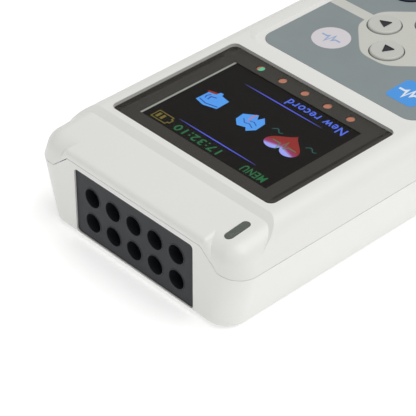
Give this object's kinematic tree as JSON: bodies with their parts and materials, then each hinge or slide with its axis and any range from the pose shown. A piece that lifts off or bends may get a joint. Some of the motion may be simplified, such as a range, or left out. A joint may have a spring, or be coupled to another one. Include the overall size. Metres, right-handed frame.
{
  "type": "ambulatory ecg recorder",
  "caption": "Hand-held battery-powered ECG recorder with a colour display, a keypad, indicator lights and a shrouded lead-socket panel in its end face.",
  "frame": {"origin": "middle of the back, on the surface the recorder lies on", "axes": "+X to the reader's right, +Y along the length towards the lead sockets, +Z out of the display"},
  "size_m": [0.068, 0.12, 0.025],
  "materials": {
    "case_plastic": "satin, lightly polished ABS",
    "window_acrylic": "clear polished lens",
    "mask_print": "printed dark grey, satin",
    "frame_plastic": "matte white moulding",
    "display_glass": "black liquid-crystal glass",
    "flex_foil": "amber polyimide film",
    "connector_plastic": "matte black moulding",
    "led_body": "clear diffused resin",
    "light_pipe": "frosted clear moulding",
    "status_pipe": "frosted grey-green moulding",
    "key_grey": "satin",
    "key_navy": "satin dark blue",
    "overlay_film": "fine matte printed film",
    "dome_steel": "bright",
    "socket_black": "fine matte moulding",
    "pin_brass": "gold-plated",
    "circuit_board": "green solder mask",
    "chip_resin": "matte black resin",
    "can_steel": "tinned",
    "cell_jacket": "printed sleeve, satin",
    "contact_steel": "nickel-plated",
    "screw_steel": "zinc-plated",
    "label_film": "silver-grey film",
    "card_plastic": "matte black"
  },
  "bodies": {
    "recorder": {"upper_shell": "case_plastic", "lower_shell": "case_plastic", "display_window": "window_acrylic", "window_mask": "mask_print", "display_frame": "frame_plastic", "display_panel": "display_glass", "display_cable": "flex_foil", "display_connector": "connector_plastic", "indicator_leds": "led_body", "indicator_light_pipes": "light_pipe", "status_light_pipe": "status_pipe", "status_led": "led_body", "keypad_overlay": "overlay_film", "key_switches": "dome_steel", "socket_panel": "socket_black", "socket_block": "socket_black", "lead_pins": "pin_brass", "front_end_board": "circuit_board", "amplifier_chips": "chip_resin", "main_board": "circuit_board", "shield_can": "can_steel", "processor": "chip_resin", "memory_chips": "chip_resin", "board_header": "connector_plastic", "clock_cell": "contact_steel", "clock_cell_clip": "contact_steel", "buzzer": "connector_plastic", "side_board": "circuit_board", "usb_socket": "can_steel", "card_socket": "connector_plastic", "link_cable": "flex_foil", "cell_left": "cell_jacket", "cell_right": "cell_jacket", "battery_contacts": "contact_steel", "battery_springs": "contact_steel", "case_screws": "screw_steel", "board_screws": "screw_steel", "rating_label": "label_film"},
    "key_up": {"key_up": "key_grey"},
    "key_down": {"key_down": "key_grey"},
    "key_left": {"key_left": "key_grey"},
    "key_right": {"key_right": "key_grey"},
    "key_lower_left": {"key_lower_left": "key_navy"},
    "key_lower_right": {"key_lower_right": "key_navy"},
    "battery_door": {"battery_door": "case_plastic"},
    "port_cover": {"port_cover": "case_plastic"},
    "memory_card": {"memory_card": "card_plastic"}
  },
  "joints": [
    {"name": "key_up_press", "type": "slide", "parent": "recorder", "child": "key_up", "axis": [0, 0, -1], "range_m": [0, 0.0004], "stiffness_N_per_m": 1500},
    {"name": "key_down_press", "type": "slide", "parent": "recorder", "child": "key_down", "axis": [0, 0, -1], "range_m": [0, 0.0004], "stiffness_N_per_m": 1500},
    {"name": "key_left_press", "type": "slide", "parent": "recorder", "child": "key_left", "axis": [0, 0, -1], "range_m": [0, 0.0004], "stiffness_N_per_m": 1500},
    {"name": "key_right_press", "type": "slide", "parent": "recorder", "child": "key_right", "axis": [0, 0, -1], "range_m": [0, 0.0004], "stiffness_N_per_m": 1500},
    {"name": "key_lower_left_press", "type": "slide", "parent": "recorder", "child": "key_lower_left", "axis": [0, 0, -1], "range_m": [0, 0.0004], "stiffness_N_per_m": 1500},
    {"name": "key_lower_right_press", "type": "slide", "parent": "recorder", "child": "key_lower_right", "axis": [0, 0, -1], "range_m": [0, 0.0004], "stiffness_N_per_m": 1500},
    {"name": "battery_door_slide", "type": "slide", "parent": "recorder", "child": "battery_door", "axis": [0, -1, 0], "range_m": [0, 0.066]},
    {"name": "port_cover_hinge", "type": "hinge", "parent": "recorder", "child": "port_cover", "pos_m": [0.03135, -0.012, 0.0082], "axis": [0, 1, 0], "range_deg": [0, 75]},
    {"name": "memory_card_slide", "type": "slide", "parent": "recorder", "child": "memory_card", "axis": [1, 0, 0], "range_m": [0, 0.015]}
  ]
}
